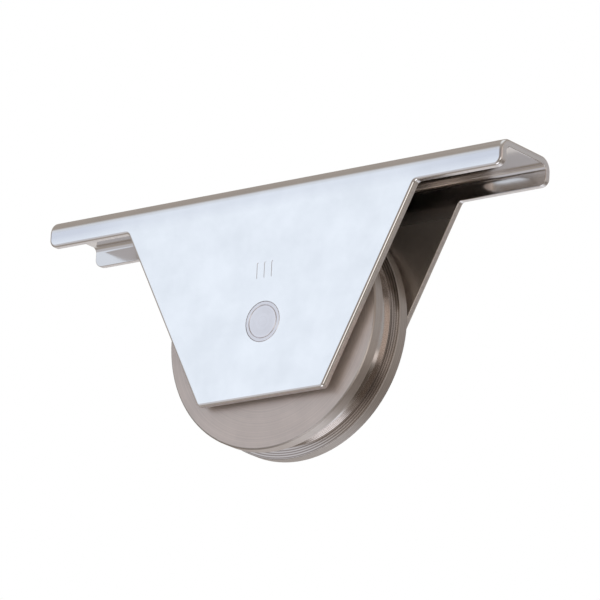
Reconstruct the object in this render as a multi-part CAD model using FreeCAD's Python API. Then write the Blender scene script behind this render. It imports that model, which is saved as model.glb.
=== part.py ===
"""Grooved gate roller: a turned wheel on two ball bearings in a pressed channel frame.

Origin: centre of the frame's top face.  +X runs along the frame, +Z up, +Y to the rear.
The wheel turns about an axis parallel to Y.  All sizes are in millimetres.
"""
import FreeCAD, Part
import math
import os

V = FreeCAD.Vector
AXIS_Y = V(0, 1, 0)

# ---- driving dimensions ----
FRAME_LENGTH = 200.0
FRAME_WIDTH = 30.0
SHEET = 3.0
BEND_INSIDE = 2.0
FLANGE_DEPTH = 10.3          # from the top face to the flange's lower edge
CHEEK_DEPTH = 80.0           # from the top face to the cheek's lower edge
CHEEK_HALF_TOP = 63.5        # half width of a cheek where it leaves the flange
CHEEK_HALF_BOTTOM = 27.5     # half width of a cheek at its lower edge
FLANGE_CORNER = 3.0
CHEEK_ROOT_RADIUS = 1.8
CHEEK_CORNER = 1.7
DIE_ROLL = 1.2               # rounding that punch and polish leave on the sheet's outer side
EDGE_BREAK = 0.3             # rounding of the sheet's inner side
SLOT_SPACING = 153.0         # between the middles of the two fixing slots in the web
SLOT_LENGTH = 20.0           # end to end, along the frame
SLOT_R = 5.0                 # half the slot's width
STROKE_COUNT = 3             # plain strokes stamped in the front cheek
STROKE_SPACING = 3.2
STROKE_LENGTH = 5.0
STROKE_R = 0.5
STROKE_DEPTH = 0.15
STROKE_Z = -33.5

AXLE_DEPTH = 52.5            # from the top face to the wheel's axis
AXLE_R = 7.5
AXLE_EDGE = 0.3
SWAGE_R = 6.0                # ring pressed into each pin end, which swells it in its hole
SWAGE_DEPTH = 0.18

WHEEL_R = 45.0
WHEEL_WIDTH = 19.4
GROOVE_HALF_MOUTH = 5.0
GROOVE_HALF_FLOOR = 3.7
GROOVE_R = 41.5
WHEEL_EDGE = 0.45
GROOVE_EDGE = 0.2
SHOULDER_DEPTH = 1.6         # of the wheel's inner shoulder, which the outer rings seat on

BEARING_R = 16.0
BEARING_WIDTH = 9.0
BALL_R = 2.381
BALL_PITCH_R = 11.75
BALL_COUNT = 9
BALL_PLAY = 0.05             # between a ball and each raceway
INNER_LAND_R = 10.25
OUTER_LAND_R = 13.3
SEAT_R = 14.4                # recess of the outer ring that holds a shield
SEAT_DEPTH = 0.9
RING_EDGE = 0.3
CAGE_SHEET = 0.5
CAGE_INNER_R = 10.65
CAGE_OUTER_R = 12.9
POCKET_PLAY = 0.08
RIVET_R = 0.4
RIVET_HEAD_R = 0.7
RIVET_HEAD_HEIGHT = 0.3
SHIELD_SHEET = 0.35
SHIELD_INNER_R = 10.55
SHIELD_RIM = 0.5
COLLAR_R = 9.6
COLLAR_EDGE = 0.3
TOUCHING = 0.001             # how near counts as on a surface

# ---- worked out from them ----
HALF_WIDTH = FRAME_WIDTH / 2
HALF_LENGTH = FRAME_LENGTH / 2
BEND_OUTSIDE = BEND_INSIDE + SHEET
CHEEK_INSIDE_Y = HALF_WIDTH - SHEET
WHEEL_HALF = WHEEL_WIDTH / 2
SPACER_WIDTH = WHEEL_WIDTH - 2 * BEARING_WIDTH
BEARING_Y = (SPACER_WIDTH + BEARING_WIDTH) / 2
BEARING_HALF = BEARING_WIDTH / 2
AXLE_CENTRE = V(0, 0, -AXLE_DEPTH)


def turned(profile):
    """Solid of revolution about the wheel's axis; profile points are (radius, y)."""
    points = [V(radius, y, -AXLE_DEPTH) for radius, y in profile]
    face = Part.Face(Part.makePolygon(points + points[:1]))
    return face.revolve(AXLE_CENTRE, AXIS_Y, 360)


def ring(inner_r, outer_r, y_low, y_high, edge=0.0):
    """Turned ring with its four edges broken by a small chamfer."""
    if not edge:
        return turned([(inner_r, y_low), (outer_r, y_low), (outer_r, y_high), (inner_r, y_high)])
    return turned([
        (inner_r, y_low + edge), (inner_r + edge, y_low),
        (outer_r - edge, y_low), (outer_r, y_low + edge),
        (outer_r, y_high - edge), (outer_r - edge, y_high),
        (inner_r + edge, y_high), (inner_r, y_high - edge),
    ])


def rod(radius, x, y_low, y_high, height):
    """Cylinder along Y at the given x and height."""
    return Part.makeCylinder(radius, y_high - y_low, V(x, y_low, height), AXIS_Y)


def around_axle(index):
    """Place of ball number index on the pitch circle, as (x, z)."""
    angle = 2 * math.pi * index / BALL_COUNT
    x = BALL_PITCH_R * math.cos(angle)
    z = BALL_PITCH_R * math.sin(angle) - AXLE_DEPTH
    return x, z


# ---- frame ----
def rounded_outline(corners):
    """Closed wire in the X-Z plane; corners are (x, z, radius), with arcs of those radii."""
    edges = []
    starts = []
    ends = []
    count = len(corners)
    for index in range(count):
        x, z, radius = corners[index]
        here = V(x, 0, z)
        before = V(corners[index - 1][0], 0, corners[index - 1][1]) - here
        after = V(corners[(index + 1) % count][0], 0, corners[(index + 1) % count][1]) - here
        before.normalize()
        after.normalize()
        if radius == 0:
            starts.append(here)
            ends.append(here)
            edges.append(None)
            continue
        half_angle = before.getAngle(after) / 2
        reach = radius / math.tan(half_angle)
        bisector = (before + after).normalize()
        centre = here + bisector * (radius / math.sin(half_angle))
        starts.append(here + before * reach)
        ends.append(here + after * reach)
        edges.append(Part.Arc(starts[-1], centre - bisector * radius, ends[-1]).toShape())
    wire = []
    for index in range(count):
        if edges[index]:
            wire.append(edges[index])
        wire.append(Part.makeLine(ends[index], starts[(index + 1) % count]))
    return Part.Wire(wire)


def channel():
    """The folded sheet before its sides are trimmed: web, two bends and two deep sides."""
    length = V(FRAME_LENGTH, 0, 0)
    start = V(-HALF_LENGTH, 0, 0)

    def block(half_width, top, outer_r):
        """Downward U block of the given half width, with its two top edges rounded."""
        side = CHEEK_DEPTH
        quarter = outer_r * (1 - math.sqrt(0.5))
        points = [
            V(0, -half_width, -side), V(0, -half_width, top - outer_r),
            V(0, -half_width + outer_r, top), V(0, half_width - outer_r, top),
            V(0, half_width, top - outer_r), V(0, half_width, -side),
        ]
        left = Part.Arc(points[1], V(0, -half_width + quarter, top - quarter), points[2])
        right = Part.Arc(points[3], V(0, half_width - quarter, top - quarter), points[4])
        wire = Part.Wire([
            Part.makeLine(points[0], points[1]), left.toShape(),
            Part.makeLine(points[2], points[3]), right.toShape(),
            Part.makeLine(points[4], points[5]), Part.makeLine(points[5], points[0]),
        ])
        wire.translate(start)
        return Part.Face(wire).extrude(length)

    return block(HALF_WIDTH, 0, BEND_OUTSIDE).cut(block(CHEEK_INSIDE_Y, -SHEET, BEND_INSIDE))


def side_outline():
    """Outline of the frame seen from the side: flange ends, sloping cheek edges, flat foot."""
    right = [
        (HALF_LENGTH, SHEET, 0),
        (HALF_LENGTH, -FLANGE_DEPTH, FLANGE_CORNER),
        (CHEEK_HALF_TOP, -FLANGE_DEPTH, CHEEK_ROOT_RADIUS),
        (CHEEK_HALF_BOTTOM, -CHEEK_DEPTH, CHEEK_CORNER),
    ]
    left = [(-x, z, radius) for x, z, radius in reversed(right)]
    return rounded_outline(right + left)


def on_skin(point, depth):
    """True for a point on the folded sheet's surface at the given depth below its outer side."""
    side_y = HALF_WIDTH - depth
    bend_r = BEND_OUTSIDE - depth
    bend_y = HALF_WIDTH - BEND_OUTSIDE
    if point.z < -BEND_OUTSIDE:
        return abs(abs(point.y) - side_y) < TOUCHING
    if abs(point.y) < bend_y:
        return abs(point.z + depth) < TOUCHING
    from_centre = math.hypot(abs(point.y) - bend_y, point.z + BEND_OUTSIDE)
    return abs(from_centre - bend_r) < TOUCHING


def rim(sheet, depth):
    """Edges that run all round one side of the sheet, without its bend lines."""
    edges = []
    for edge in sheet.Edges:
        bend_line = edge.BoundBox.XLength > FRAME_LENGTH - 2 * DIE_ROLL - TOUCHING
        if not bend_line and all(on_skin(point, depth) for point in edge.discretize(5)):
            edges.append(edge)
    return edges


def stamped_strokes():
    """Cutter of the plain strokes stamped in the front cheek above the pin."""
    strokes = []
    for index in range(STROKE_COUNT):
        x = (index - (STROKE_COUNT - 1) / 2) * STROKE_SPACING
        half = STROKE_LENGTH / 2
        low = rod(STROKE_R, x, -HALF_WIDTH - 1, STROKE_DEPTH - HALF_WIDTH, STROKE_Z - half)
        high = rod(STROKE_R, x, -HALF_WIDTH - 1, STROKE_DEPTH - HALF_WIDTH, STROKE_Z + half)
        corner = V(x - STROKE_R, -HALF_WIDTH - 1, STROKE_Z - half)
        bar = Part.makeBox(2 * STROKE_R, 1 + STROKE_DEPTH, STROKE_LENGTH, corner)
        strokes.append(low.fuse([high, bar]))
    return strokes[0].fuse(strokes[1:])


def fixing_slot(x):
    """Cutter of a round-ended slot through the web, with its middle at x."""
    half_run = SLOT_LENGTH / 2 - SLOT_R
    start = -2 * SHEET
    slot = Part.makeBox(2 * half_run, 2 * SLOT_R, 3 * SHEET, V(x - half_run, -SLOT_R, start))
    for end in (x - half_run, x + half_run):
        slot = slot.fuse(Part.makeCylinder(SLOT_R, 3 * SHEET, V(end, 0, start)))
    return slot


def make_frame():
    """Pressed channel with trapezoid cheeks, two fixing slots and the axle's holes."""
    outline = side_outline()
    outline.translate(V(0, -FRAME_WIDTH, 0))
    sheet = channel().common(Part.Face(outline).extrude(V(0, 2 * FRAME_WIDTH, 0)))
    sheet = sheet.makeFillet(DIE_ROLL, rim(sheet, 0))
    for x in (-SLOT_SPACING / 2, SLOT_SPACING / 2):
        sheet = sheet.cut(fixing_slot(x))
    sheet = sheet.makeFillet(EDGE_BREAK, rim(sheet, SHEET))
    sheet = sheet.cut(rod(AXLE_R, 0, -FRAME_WIDTH, FRAME_WIDTH, -AXLE_DEPTH))
    return sheet.cut(stamped_strokes())


def make_axle_pin():
    """Plain pin, flush with both cheeks, with a shallow swaging ring in each end."""
    inner = SWAGE_R - SWAGE_DEPTH
    outer = SWAGE_R + SWAGE_DEPTH
    floor = HALF_WIDTH - SWAGE_DEPTH
    return turned([
        (0, -HALF_WIDTH), (inner, -HALF_WIDTH), (SWAGE_R, -floor), (outer, -HALF_WIDTH),
        (AXLE_R - AXLE_EDGE, -HALF_WIDTH), (AXLE_R, AXLE_EDGE - HALF_WIDTH),
        (AXLE_R, HALF_WIDTH - AXLE_EDGE), (AXLE_R - AXLE_EDGE, HALF_WIDTH),
        (outer, HALF_WIDTH), (SWAGE_R, floor), (inner, HALF_WIDTH), (0, HALF_WIDTH),
    ])


# ---- wheel ----
def make_wheel():
    """Wheel with a land on each side of a shallow groove, and a bore with a middle shoulder."""
    shoulder = SPACER_WIDTH / 2
    mouth = GROOVE_HALF_MOUTH
    half = [
        (BEARING_R - SHOULDER_DEPTH, shoulder),
        (BEARING_R, shoulder),
        (BEARING_R, WHEEL_HALF - RING_EDGE),
        (BEARING_R + RING_EDGE, WHEEL_HALF),
        (WHEEL_R - WHEEL_EDGE, WHEEL_HALF),
        (WHEEL_R, WHEEL_HALF - WHEEL_EDGE),
        (WHEEL_R, mouth + GROOVE_EDGE),
        (WHEEL_R - GROOVE_EDGE, mouth),
        (GROOVE_R, GROOVE_HALF_FLOOR),
    ]
    return turned(half + [(radius, -y) for radius, y in reversed(half)])


# ---- bearings ----
def cut_raceway(solid, centre_y):
    """The ring less the raceway that the balls run in."""
    centre = V(0, centre_y, -AXLE_DEPTH)
    return solid.cut(Part.makeTorus(BALL_PITCH_R, BALL_R + BALL_PLAY, centre, AXIS_Y))


def make_outer_ring(centre_y):
    """Outer ring with a recess at each side for its shield."""
    low = centre_y - BEARING_HALF
    high = centre_y + BEARING_HALF
    solid = turned([
        (OUTER_LAND_R, low + SEAT_DEPTH), (SEAT_R, low + SEAT_DEPTH), (SEAT_R, low),
        (BEARING_R - RING_EDGE, low), (BEARING_R, low + RING_EDGE),
        (BEARING_R, high - RING_EDGE), (BEARING_R - RING_EDGE, high),
        (SEAT_R, high), (SEAT_R, high - SEAT_DEPTH), (OUTER_LAND_R, high - SEAT_DEPTH),
    ])
    return cut_raceway(solid, centre_y)


def make_inner_ring(centre_y):
    """Inner ring, which stands still on the pin."""
    low = centre_y - BEARING_HALF
    high = centre_y + BEARING_HALF
    return cut_raceway(ring(AXLE_R, INNER_LAND_R, low, high, RING_EDGE), centre_y)


def make_balls(centre_y):
    """The balls of one bearing, as a group of separate solids."""
    balls = []
    for index in range(BALL_COUNT):
        x, z = around_axle(index)
        balls.append(Part.makeSphere(BALL_R, V(x, centre_y, z)))
    return Part.makeCompound(balls)


def make_cage_half(centre_y, side):
    """Pressed half of the ball cage on one side (-1 or 1) of the balls' middle plane."""
    def band(height):
        """Ring of the cage's width, from the middle plane out to the given height."""
        low = min(centre_y, centre_y + side * height)
        return ring(CAGE_INNER_R, CAGE_OUTER_R, low, low + height)

    hollow_r = BALL_R + POCKET_PLAY
    cup_r = hollow_r + CAGE_SHEET
    outward = AXIS_Y * side
    half = band(CAGE_SHEET)
    limits = band(cup_r + CAGE_SHEET)
    for index in range(BALL_COUNT):
        x, z = around_axle(index)
        cup = Part.makeSphere(cup_r, V(x, centre_y, z), outward, 0, 90, 360)
        half = half.fuse(cup.common(limits))
    for index in range(BALL_COUNT):
        x, z = around_axle(index)
        half = half.cut(Part.makeSphere(hollow_r, V(x, centre_y, z), outward))
        x, z = around_axle(index + 0.5)
        half = half.cut(rod(RIVET_R, x, centre_y - cup_r, centre_y + cup_r, z))
    return half


def make_cage_rivets(centre_y):
    """Rivets that join the two cage halves between the balls."""
    rivets = []
    for index in range(BALL_COUNT):
        x, z = around_axle(index + 0.5)
        shank = rod(RIVET_R, x, centre_y - CAGE_SHEET, centre_y + CAGE_SHEET, z)
        heads = []
        for side in (-1, 1):
            foot = V(x, centre_y + side * CAGE_SHEET, z)
            heads.append(Part.makeCone(RIVET_HEAD_R, RIVET_R, RIVET_HEAD_HEIGHT, foot, AXIS_Y * side))
        rivets.append(shank.fuse(heads))
    return Part.makeCompound(rivets)


def make_shield(centre_y, side):
    """Pressed shield with a raised rim, seated in the outer ring's recess on one side."""
    seat = BEARING_HALF - SEAT_DEPTH
    profile = [
        (SHIELD_INNER_R, seat), (SEAT_R, seat), (SEAT_R, BEARING_HALF - SHIELD_SHEET / 2),
        (SEAT_R - SHIELD_RIM, BEARING_HALF - SHIELD_SHEET / 2),
        (SEAT_R - SHIELD_RIM, seat + SHIELD_SHEET), (SHIELD_INNER_R, seat + SHIELD_SHEET),
    ]
    return turned([(radius, centre_y + side * y) for radius, y in profile])


def make_bearing(name, side):
    """All pieces of the bearing on one side (-1 front, 1 rear); outboard faces the cheek."""
    centre_y = side * BEARING_Y
    return {
        name + "_outer_ring": make_outer_ring(centre_y),
        name + "_inner_ring": make_inner_ring(centre_y),
        name + "_balls": make_balls(centre_y),
        name + "_cage_outboard": make_cage_half(centre_y, side),
        name + "_cage_inboard": make_cage_half(centre_y, -side),
        name + "_cage_rivets": make_cage_rivets(centre_y),
        name + "_shield_outboard": make_shield(centre_y, side),
        name + "_shield_inboard": make_shield(centre_y, -side),
    }


# ---- assembly ----
def make_pieces():
    """Every separate piece, by name, in its place."""
    pieces = {
        "frame": make_frame(),
        "axle_pin": make_axle_pin(),
        "wheel": make_wheel(),
        "front_collar": ring(AXLE_R, COLLAR_R, -CHEEK_INSIDE_Y, -WHEEL_HALF, COLLAR_EDGE),
        "rear_collar": ring(AXLE_R, COLLAR_R, WHEEL_HALF, CHEEK_INSIDE_Y, COLLAR_EDGE),
        "bearing_spacer": ring(AXLE_R, COLLAR_R, -SPACER_WIDTH / 2, SPACER_WIDTH / 2),
    }
    pieces.update(make_bearing("front_bearing", -1))
    pieces.update(make_bearing("rear_bearing", 1))
    return pieces


os.makedirs("parts", exist_ok=True)
for name, shape in make_pieces().items():
    print(name, "valid" if shape.isValid() else "INVALID", len(shape.Solids), round(shape.Volume, 1))
    shape.exportStep("parts/" + name + ".step")
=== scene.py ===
"""Looks of the grooved gate roller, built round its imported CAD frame.  Metres, +Z up."""
import bpy
import math
from mathutils import Matrix, Vector


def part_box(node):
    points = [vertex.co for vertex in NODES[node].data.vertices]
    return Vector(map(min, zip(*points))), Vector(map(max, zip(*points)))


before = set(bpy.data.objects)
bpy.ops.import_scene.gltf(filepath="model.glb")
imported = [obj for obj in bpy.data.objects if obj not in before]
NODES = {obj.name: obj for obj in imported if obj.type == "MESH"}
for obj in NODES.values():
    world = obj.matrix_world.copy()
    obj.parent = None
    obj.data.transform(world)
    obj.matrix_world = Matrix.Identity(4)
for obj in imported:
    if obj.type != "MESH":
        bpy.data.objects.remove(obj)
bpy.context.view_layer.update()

# ---- places worked out from the frame ----
WHEEL_LOW, WHEEL_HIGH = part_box("wheel")
AXLE_Z = (WHEEL_LOW.z + WHEEL_HIGH.z) / 2
WHEEL_R = (WHEEL_HIGH.x - WHEEL_LOW.x) / 2
WHEEL_CENTRE = Vector((0, 0, AXLE_Z))
WHEEL_HALF_WIDTH = WHEEL_HIGH.y
CORNER = 0.0006                        # size of the wheel's outer corners, as they look
GROOVE_MOUTH = 0.005                   # half width of the wheel's groove at its mouth
GROOVE_FLOOR_R = WHEEL_R - 0.0034      # anything nearer the axis is the groove's floor
FRAME_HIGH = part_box("frame")[1]
SHEET = 0.003
BELOW_BEND_Z = FRAME_HIGH.z - 0.00505  # just under the bends between web and flanges
BELOW_FLANGE_Z = FRAME_HIGH.z - 0.0108
CHEEK_INSIDE_Y = FRAME_HIGH.y - SHEET + 0.0002

# ---- camera: degrees, millimetres on a 36 mm sensor, metres ----
CAMERA_AZIMUTH = 37.48
CAMERA_ELEVATION = -16.99
CAMERA_ROLL = 2.74
CAMERA_DISTANCE = 1.9747
CAMERA_LENS = 335.86
CAMERA_REACH = 50.0
CAMERA_OFFSET = (0.00419, 0.01140)     # of the aim from the wheel's centre, right and up

FLOOR_Z = -3.0
FLOOR_R = 6.0
BACKDROP_R = 12.0
FLOOR_COLOUR = (0.86, 0.86, 0.86)

# ---- metal tones: light and dark ----
SHEET_OUTSIDE = (0.83, 0.81, 0.79), (0.77, 0.755, 0.74)
SHEET_INSIDE = (0.66, 0.61, 0.56), (0.58, 0.53, 0.48)
SHEET_EDGE = (0.90, 0.88, 0.88), (0.74, 0.72, 0.72)
# painted darker reflection on the flange strips just under the bends
SHEET_PAINTED_REFLECTION = (0.62, 0.605, 0.62)
SHEET_INNER_FACE = (0.66, 0.63, 0.61)
WHEEL_LAND = (0.64, 0.595, 0.565), (0.54, 0.495, 0.465)
WHEEL_REAR_LAND = (0.64, 0.60, 0.57), (0.44, 0.41, 0.39)
WHEEL_FACE = (0.70, 0.605, 0.55), (0.61, 0.53, 0.485)
WHEEL_CORNER = (0.46, 0.42, 0.39)
GROOVE_WALL = (0.80, 0.76, 0.74), (0.36, 0.32, 0.29)
GROOVE_FLOOR = (0.70, 0.67, 0.65), (0.64, 0.61, 0.59)
PIN = (0.80, 0.77, 0.78), (0.72, 0.69, 0.70)
SPACER = (0.58, 0.57, 0.57), (0.48, 0.47, 0.47)
RING = (0.74, 0.74, 0.76), (0.68, 0.68, 0.70)
BALL = (0.80, 0.80, 0.82), (0.76, 0.76, 0.78)
PRESSED = (0.62, 0.62, 0.64), (0.52, 0.52, 0.54)

# ---- how the materials vary ----
MIDDLE = (0.35, 0.65)                  # spread of a noise over which a tone changes
WIDE = (0.3, 0.7)                      # the same, for a softer change
EDGE_NORMAL_Y = 0.12                   # a sheared edge faces less far to the side than this
END_NORMAL_X = 0.9                     # an end of the frame faces further along it than this
FACE_NORMAL_Y = 0.97                   # a side face of the wheel faces further along its axis
INSIDE_FADE = 0.006                    # height over which the cheeks turn dull inside
PAINTED_REFLECTION_FADE_LOW = 0.0015                 # the painted darker reflection's fade, below and above
PAINTED_REFLECTION_FADE_HIGH = 0.001
# the painted darker reflection grows from partial in the frame's middle to full at its ends between
# these distances
PAINTED_REFLECTION_MIDDLE_X, PAINTED_REFLECTION_END_X = 0.055, 0.085
PAINTED_REFLECTION_MIDDLE_SHARE = 0.4                # of the painted darker reflection, away from the frame's ends
EDGE_GRAIN = (700, 60, 700)            # marks across the sheared edges
ROLLED_GRAIN = (400, 400, 4000)
PROFILE_SLOPE = 1.37                   # how much y adds to the distance along a turned profile
FINE_LINES = 7000
BROAD_LINES = 1900
RIDGES = 5300                          # radians per metre of the ridges on the groove's walls
RIDGE_WANDER = 1.5


def view_axes(azimuth, elevation, roll=0.0):
    """Right, up and towards-the-viewer axes for a viewing direction in degrees."""
    a = math.radians(azimuth)
    e = math.radians(elevation)
    back = Vector((math.sin(a) * math.cos(e), -math.cos(a) * math.cos(e), math.sin(e)))
    right = (-back).cross(Vector((0, 0, 1))).normalized()
    up = back.cross(right)
    turn = Matrix.Rotation(math.radians(roll), 3, back)
    return turn @ right, turn @ up, back


def placed(right, up, back, location):
    """World matrix of an object that looks along -back."""
    turn = Matrix((right, up, back)).transposed()
    return Matrix.Translation(location) @ turn.to_4x4()


def make_camera():
    """The camera, aimed past the wheel's centre."""
    right, up, back = view_axes(CAMERA_AZIMUTH, CAMERA_ELEVATION, CAMERA_ROLL)
    location = WHEEL_CENTRE + back * CAMERA_DISTANCE
    location += right * CAMERA_OFFSET[0] + up * CAMERA_OFFSET[1]
    data = bpy.data.cameras.new("camera")
    data.lens = CAMERA_LENS
    data.sensor_width = 36.0
    data.clip_end = CAMERA_REACH
    camera = bpy.data.objects.new("camera", data)
    camera.matrix_world = placed(right, up, back, location)
    bpy.context.scene.collection.objects.link(camera)
    bpy.context.scene.camera = camera


# ---- light: (azimuth, elevation, full within, gone beyond, colour), in degrees ----
SURROUND = (0.40, 0.36, 0.33)
PANELS = [
    (-37.6, 10, 8, 36, (0.98, 1.08, 1.22)),      # large window light, front left
    (0, 0, 8, 24, (0.26, 0.22, 0.19)),           # dark room straight in front
    (80, 6, 16, 28, (0.85, 0.72, 0.64)),         # warm wall to the right
    (76, -37, 15, 20, (0.16, 0.125, 0.10)),      # dark bench edge to the right, low
    (-44, -28, 10, 27, (0.66, 0.66, 0.70)),      # pale floor, front left
    (5, -77, 11, 24, (1.70, 1.72, 1.82)),        # white sheet underneath
    (49, -14, 12, 20, (1.35, 1.30, 1.26)),       # lamp front right, low
    (-148, -25, 14, 30, (0.72, 0.69, 0.68)),     # low reflector behind
    (-172, -40, 10, 17, (1.10, 1.12, 1.18)),     # low strip behind
    (149, -27, 8, 17, (0.10, 0.08, 0.065)),      # dark flag, low and behind to the right
    (140, -9, 1.5, 5, (1.0, 0.9, 0.85)),         # small lamp behind to the right
    (142, 17, 12, 24, (0.46, 0.45, 0.45)),       # paler wall behind to the right
    (0, 90, 10, 34, (0.95, 0.97, 1.0)),          # overhead panel
]


def make_world():
    """Studio surround: an even tone with soft panels, a lamp and dark patches in it."""
    world = bpy.data.worlds.new("surround")
    world.use_nodes = True
    nodes = world.node_tree.nodes
    link = world.node_tree.links.new
    direction = nodes.new("ShaderNodeTexCoord").outputs["Generated"]
    even = nodes.new("ShaderNodeRGB")
    even.outputs[0].default_value = (*SURROUND, 1)
    light = even.outputs[0]
    for azimuth, elevation, full, gone, colour in PANELS:
        facing = nodes.new("ShaderNodeVectorMath")
        facing.operation = "DOT_PRODUCT"
        link(direction, facing.inputs[0])
        facing.inputs[1].default_value = view_axes(azimuth, elevation)[2]
        share = nodes.new("ShaderNodeMapRange")
        link(facing.outputs["Value"], share.inputs["Value"])
        share.inputs["From Min"].default_value = math.cos(math.radians(gone))
        share.inputs["From Max"].default_value = math.cos(math.radians(full))
        mix = nodes.new("ShaderNodeMix")
        mix.data_type = "RGBA"
        link(share.outputs[0], mix.inputs[0])
        link(light, mix.inputs[6])
        mix.inputs[7].default_value = (*colour, 1)
        light = mix.outputs[2]
    link(light, nodes["Background"].inputs["Color"])
    bpy.context.scene.world = world


def make_floor():
    """Pale floor well below the part, which no reflection shows."""
    bpy.ops.mesh.primitive_circle_add(
        vertices=96, radius=FLOOR_R, fill_type="NGON", location=(0, 0, FLOOR_Z))
    floor = bpy.context.object
    floor.name = "floor"
    floor.data.materials.append(plain_material("floor_paint", FLOOR_COLOUR, 0.6))
    floor.visible_glossy = False


def make_backdrop():
    """White backdrop all round that only the camera sees."""
    bpy.ops.mesh.primitive_uv_sphere_add(segments=48, ring_count=24, radius=BACKDROP_R)
    dome = bpy.context.object
    dome.name = "backdrop"
    dome.data.materials.append(glowing_material("backdrop_white"))
    dome.visible_diffuse = False
    dome.visible_glossy = False
    dome.visible_transmission = False
    dome.visible_shadow = False


# ---- materials ----
def glowing_material(name):
    """Even white that gives its own light and takes none."""
    paint = bpy.data.materials.new(name)
    paint.use_nodes = True
    shader = paint.node_tree.nodes["Principled BSDF"]
    shader.inputs["Base Color"].default_value = (0, 0, 0, 1)
    shader.inputs["Specular IOR Level"].default_value = 0
    shader.inputs["Emission Color"].default_value = (1, 1, 1, 1)
    shader.inputs["Emission Strength"].default_value = 1.0
    return paint


def plain_material(name, colour, roughness):
    """Painted surface with a faint mottle."""
    tree = Nodes(name)
    mottle = tree.noise(tree.position(), 2.0, 4)
    darker = [channel * 0.97 for channel in colour]
    tree.set("Base Color", tree.colours(mottle, colour, darker))
    tree.set("Roughness", roughness)
    return tree.material


class Nodes:
    """A material's node tree, with short calls for the few kinds of node used here."""

    def __init__(self, name):
        self.material = bpy.data.materials.new(name)
        self.material.use_nodes = True
        self.tree = self.material.node_tree
        self.shader = self.tree.nodes["Principled BSDF"]

    def new(self, kind, **settings):
        node = self.tree.nodes.new(kind)
        for key, value in settings.items():
            setattr(node, key, value)
        return node

    def plug(self, socket, value):
        """Links a socket to another, or sets its value."""
        if isinstance(value, bpy.types.NodeSocket):
            self.tree.links.new(value, socket)
        else:
            socket.default_value = value

    def set(self, name, value):
        if name.endswith("Color") and not isinstance(value, bpy.types.NodeSocket):
            value = (*value, 1)
        self.plug(self.shader.inputs[name], value)

    def math(self, operation, a, b=0.0):
        node = self.new("ShaderNodeMath", operation=operation)
        self.plug(node.inputs[0], a)
        self.plug(node.inputs[1], b)
        return node.outputs[0]

    def add(self, a, b):
        return self.math("ADD", a, b)

    def times(self, a, b):
        return self.math("MULTIPLY", a, b)

    def absolute(self, value):
        return self.math("ABSOLUTE", value)

    def less(self, value, limit):
        return self.math("LESS_THAN", value, limit)

    def more(self, value, limit):
        return self.math("GREATER_THAN", value, limit)

    def rest(self, share):
        """What a share leaves of 1."""
        return self.math("SUBTRACT", 1.0, share)

    def average(self, a, b):
        return self.add(self.times(a, 0.5), self.times(b, 0.5))

    def position(self):
        return self.new("ShaderNodeTexCoord").outputs["Object"]

    def normal(self):
        return self.new("ShaderNodeTexCoord").outputs["Normal"]

    def split(self, vector):
        node = self.new("ShaderNodeSeparateXYZ")
        self.plug(node.inputs[0], vector)
        return node.outputs

    def stretched(self, vector, scale):
        node = self.new("ShaderNodeMapping")
        self.plug(node.inputs["Vector"], vector)
        node.inputs["Scale"].default_value = scale
        return node.outputs[0]

    def noise(self, vector, scale, detail=2.0, roughness=0.5):
        node = self.new("ShaderNodeTexNoise")
        self.plug(node.inputs["Vector"], vector)
        node.inputs["Scale"].default_value = scale
        node.inputs["Detail"].default_value = detail
        node.inputs["Roughness"].default_value = roughness
        return node.outputs["Fac"]

    def lines(self, distance, scale, detail=2.0):
        """Noise that changes only with one distance."""
        node = self.new("ShaderNodeTexNoise", noise_dimensions="1D")
        self.plug(node.inputs["W"], distance)
        node.inputs["Scale"].default_value = scale
        node.inputs["Detail"].default_value = detail
        return node.outputs["Fac"]

    def band(self, value, low, high, to_low=0.0, to_high=1.0):
        """Straight ramp of a value between two limits, held outside them."""
        node = self.new("ShaderNodeMapRange", clamp=True)
        self.plug(node.inputs["Value"], value)
        for name, number in zip(("From Min", "From Max", "To Min", "To Max"),
                                (low, high, to_low, to_high)):
            node.inputs[name].default_value = number
        return node.outputs[0]

    def mix(self, share, a, b):
        node = self.new("ShaderNodeMix", data_type="FLOAT")
        self.plug(node.inputs[0], share)
        self.plug(node.inputs[2], a)
        self.plug(node.inputs[3], b)
        return node.outputs[0]

    def colours(self, share, a, b):
        """Mix of two colours by a share from 0 to 1."""
        node = self.new("ShaderNodeMix", data_type="RGBA")
        self.plug(node.inputs[0], share)
        for socket, colour in ((node.inputs[6], a), (node.inputs[7], b)):
            if not isinstance(colour, bpy.types.NodeSocket):
                colour = (*colour, 1)
            self.plug(socket, colour)
        return node.outputs[2]

    def tones(self, value, limits, pair):
        """The light tone of a pair up to the lower limit, changing to the dark one at the upper."""
        return self.colours(self.band(value, *limits), *pair)

    def bump(self, height, distance, strength=1.0):
        node = self.new("ShaderNodeBump")
        self.plug(node.inputs["Height"], height)
        node.inputs["Distance"].default_value = distance
        node.inputs["Strength"].default_value = strength
        self.plug(self.shader.inputs["Normal"], node.outputs[0])

    def metal(self):
        self.set("Metallic", 1.0)
        self.set("Specular IOR Level", 0.5)


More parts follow.
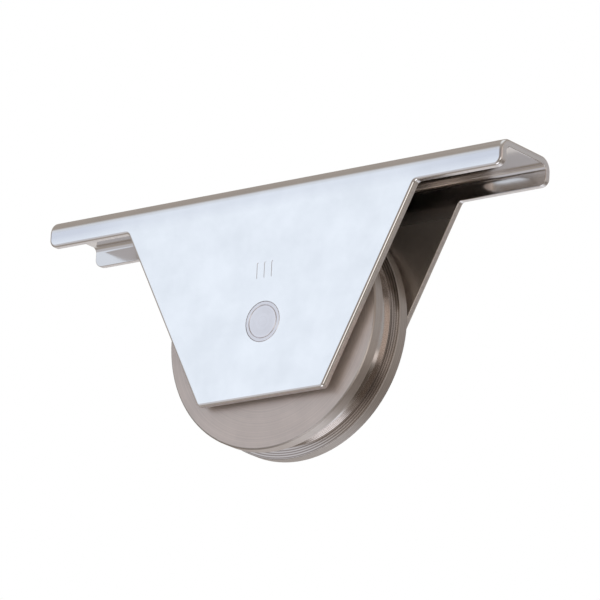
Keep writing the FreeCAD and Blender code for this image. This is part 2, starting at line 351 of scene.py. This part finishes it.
def sheet_regions(tree):
    """Shares of the sheet's regions at the shaded point, by name."""
    x, y, z = tree.split(tree.position())
    normal_x, normal_y, _ = tree.split(tree.normal())
    sideways = tree.absolute(normal_y)
    across = tree.less(sideways, EDGE_NORMAL_Y)
    cut = tree.times(across, tree.less(z, BELOW_BEND_Z))
    sheared = tree.math("MAXIMUM", cut, tree.more(tree.absolute(normal_x), END_NORMAL_X))
    inner = tree.less(tree.absolute(y), CHEEK_INSIDE_Y)
    inside = tree.times(inner, tree.band(z, BELOW_FLANGE_Z, BELOW_FLANGE_Z - INSIDE_FADE))
    # painted darker reflection on the flange strips just under the bends, stronger towards the
    # frame's ends
    ends = tree.band(tree.absolute(x), PAINTED_REFLECTION_MIDDLE_X, PAINTED_REFLECTION_END_X, PAINTED_REFLECTION_MIDDLE_SHARE, 1.0)
    painted_reflection = tree.times(tree.band(z, BELOW_FLANGE_Z, BELOW_BEND_Z - PAINTED_REFLECTION_FADE_LOW), ends)
    under_bend = tree.band(z, BELOW_BEND_Z + PAINTED_REFLECTION_FADE_HIGH, BELOW_BEND_Z)
    return {
        "sheared": sheared,
        "inside": tree.times(inside, tree.rest(sheared)),
        "painted_reflection": tree.times(painted_reflection, under_bend),
        "inner_face": tree.times(inner, tree.band(sideways, 0.5, 0.95)),
    }


def sheet_material():
    """Bright rolled stainless sheet, duller inside.

    A painted darker reflection lies on the flange strips just under the bends, stronger towards the
    frame's ends, and the sheared edges have marks across them.
    """
    tree = Nodes("stainless_sheet")
    tree.metal()
    position = tree.position()
    regions = sheet_regions(tree)
    sheared = regions["sheared"]
    inside = regions["inside"]
    mottle = tree.noise(position, 60, 5, 0.6)
    fine = tree.noise(position, 900, 3, 0.6)
    marks = tree.noise(tree.stretched(position, EDGE_GRAIN), 1.0, 3, 0.6)
    face = tree.tones(mottle, MIDDLE, SHEET_OUTSIDE)
    # painted darker reflection on the flange strips under the bends
    face = tree.colours(regions["painted_reflection"], face, SHEET_PAINTED_REFLECTION)
    face = tree.colours(regions["inner_face"], face, SHEET_INNER_FACE)
    face = tree.colours(inside, face, tree.tones(mottle, MIDDLE, SHEET_INSIDE))
    edge = tree.tones(marks, WIDE, SHEET_EDGE)
    tree.set("Base Color", tree.colours(sheared, face, edge))
    smooth = tree.mix(inside, tree.band(mottle, *WIDE, 0.10, 0.16), 0.3)
    tree.set("Roughness", tree.mix(sheared, smooth, 0.36))
    tree.set("Metallic", tree.mix(inside, 1.0, 0.85))
    height = tree.times(tree.mix(sheared, fine, marks), tree.mix(sheared, 0.15, 0.3))
    tree.bump(height, 0.00003, 0.6)
    return tree.material


def radius_and_y(tree):
    """Distance from the wheel's axis, and y, of the shaded point."""
    x, y, z = tree.split(tree.position())
    height = tree.math("SUBTRACT", z, AXLE_Z)
    squares = tree.add(tree.times(x, x), tree.times(height, height))
    return tree.math("SQRT", squares), y


def along_profile(tree, radius, y):
    """A distance that grows along faces and rims alike, so that the lathe's lines show on both."""
    return tree.add(radius, tree.times(y, PROFILE_SLOPE))


def turned_material(name, pair, roughness, line_scale=9000):
    """Turned steel: fine rings on the faces and lines round the rims."""
    tree = Nodes(name)
    tree.metal()
    distance = along_profile(tree, *radius_and_y(tree))
    rings = tree.lines(distance, line_scale, 3)
    broad = tree.lines(distance, line_scale / 7, 2)
    mottle = tree.noise(tree.position(), 150, 4, 0.6)
    tree.set("Base Color", tree.tones(tree.average(broad, mottle), MIDDLE, pair))
    tree.set("Roughness", tree.band(rings, *WIDE, roughness * 0.85, roughness * 1.15))
    tree.bump(rings, 0.000012)
    return tree.material


def wheel_regions(tree, radius, y):
    """Shares of the wheel's regions at the shaded point, by name."""
    side = tree.absolute(y)
    _, normal_y, _ = tree.split(tree.normal())
    groove = tree.less(side, GROOVE_MOUTH)
    floor = tree.times(groove, tree.less(radius, GROOVE_FLOOR_R))
    near_rim = tree.more(radius, WHEEL_R - CORNER)
    near_side = tree.more(side, WHEEL_HALF_WIDTH - CORNER)
    return {
        "groove": groove,
        "floor": floor,
        "wall": tree.math("SUBTRACT", groove, floor),
        "face": tree.more(tree.absolute(normal_y), FACE_NORMAL_Y),
        "corner": tree.times(near_rim, near_side),
        "rear": tree.more(y, GROOVE_MOUTH),
    }


def wheel_colour(tree, regions, distance, broad):
    """Colour of the wheel: each region's own pair of tones."""
    mottle = tree.noise(tree.position(), 130, 5, 0.6)
    tone = tree.average(broad, mottle)
    wander = tree.times(broad, RIDGE_WANDER)
    ridges = tree.math("SINE", tree.add(tree.times(distance, RIDGES), wander))
    front_land = tree.tones(tone, MIDDLE, WHEEL_LAND)
    rear_land = tree.tones(broad, MIDDLE, WHEEL_REAR_LAND)
    colour = tree.colours(regions["rear"], front_land, rear_land)
    colour = tree.colours(regions["face"], colour, tree.tones(tone, MIDDLE, WHEEL_FACE))
    colour = tree.colours(regions["corner"], colour, WHEEL_CORNER)
    colour = tree.colours(regions["wall"], colour, tree.tones(ridges, (-1, 1), GROOVE_WALL))
    return tree.colours(regions["floor"], colour, tree.tones(broad, MIDDLE, GROOVE_FLOOR))


def wheel_roughness(tree, regions, fine):
    """Roughness of the wheel: satin outside, brighter in the groove."""
    rear_land = tree.times(regions["rear"], tree.rest(regions["face"]))
    roughness = tree.mix(regions["face"], tree.band(fine, *WIDE, 0.33, 0.43), 0.38)
    roughness = tree.mix(rear_land, roughness, 0.5)
    roughness = tree.mix(regions["corner"], roughness, 0.3)
    roughness = tree.mix(regions["wall"], roughness, 0.18)
    return tree.mix(regions["floor"], roughness, 0.13)


def wheel_material():
    """Turned steel wheel: satin faces and lands, bright groove floor, ridged groove walls."""
    tree = Nodes("turned_steel")
    tree.metal()
    radius, y = radius_and_y(tree)
    regions = wheel_regions(tree, radius, y)
    distance = along_profile(tree, radius, y)
    fine = tree.lines(distance, FINE_LINES, 3)
    broad = tree.lines(distance, BROAD_LINES, 2)
    tree.set("Base Color", wheel_colour(tree, regions, distance, broad))
    tree.set("Roughness", wheel_roughness(tree, regions, fine))
    tree.set("Metallic", tree.mix(regions["face"], 1.0, 0.4))
    tree.bump(tree.times(fine, tree.mix(regions["groove"], 1.0, 0.05)), 0.000015)
    return tree.material


def pressed_material(name, pair, roughness):
    """Pressed strip with a fine rolled grain."""
    tree = Nodes(name)
    tree.metal()
    grain = tree.noise(tree.stretched(tree.position(), ROLLED_GRAIN), 1.0, 3, 0.6)
    tree.set("Base Color", tree.tones(grain, WIDE, pair))
    tree.set("Roughness", tree.band(grain, *WIDE, roughness * 0.8, roughness * 1.2))
    tree.bump(grain, 0.00001, 0.5)
    return tree.material


def assign(material, names):
    """Gives the named CAD pieces one material."""
    for name in names:
        NODES[name].data.materials.clear()
        NODES[name].data.materials.append(material)


def dress_pieces():
    """A material for every CAD piece."""
    spacers = ["front_collar", "rear_collar", "bearing_spacer"]
    rings = [name for name in NODES if name.endswith("_ring")]
    balls = [name for name in NODES if name.endswith("_balls")]
    pressed = [name for name in NODES if "_cage_" in name or "_shield_" in name]
    assign(sheet_material(), ["frame"])
    assign(wheel_material(), ["wheel"])
    assign(turned_material("pin_steel", PIN, 0.35, 3000), ["axle_pin"])
    assign(turned_material("spacer_steel", SPACER, 0.3), spacers)
    assign(turned_material("ring_steel", RING, 0.12, 15000), rings)
    assign(pressed_material("ball_steel", BALL, 0.06), balls)
    assign(pressed_material("pressed_steel", PRESSED, 0.28), pressed)


bpy.context.scene.view_settings.view_transform = "Standard"
make_camera()
make_world()
make_floor()
make_backdrop()
dress_pieces()
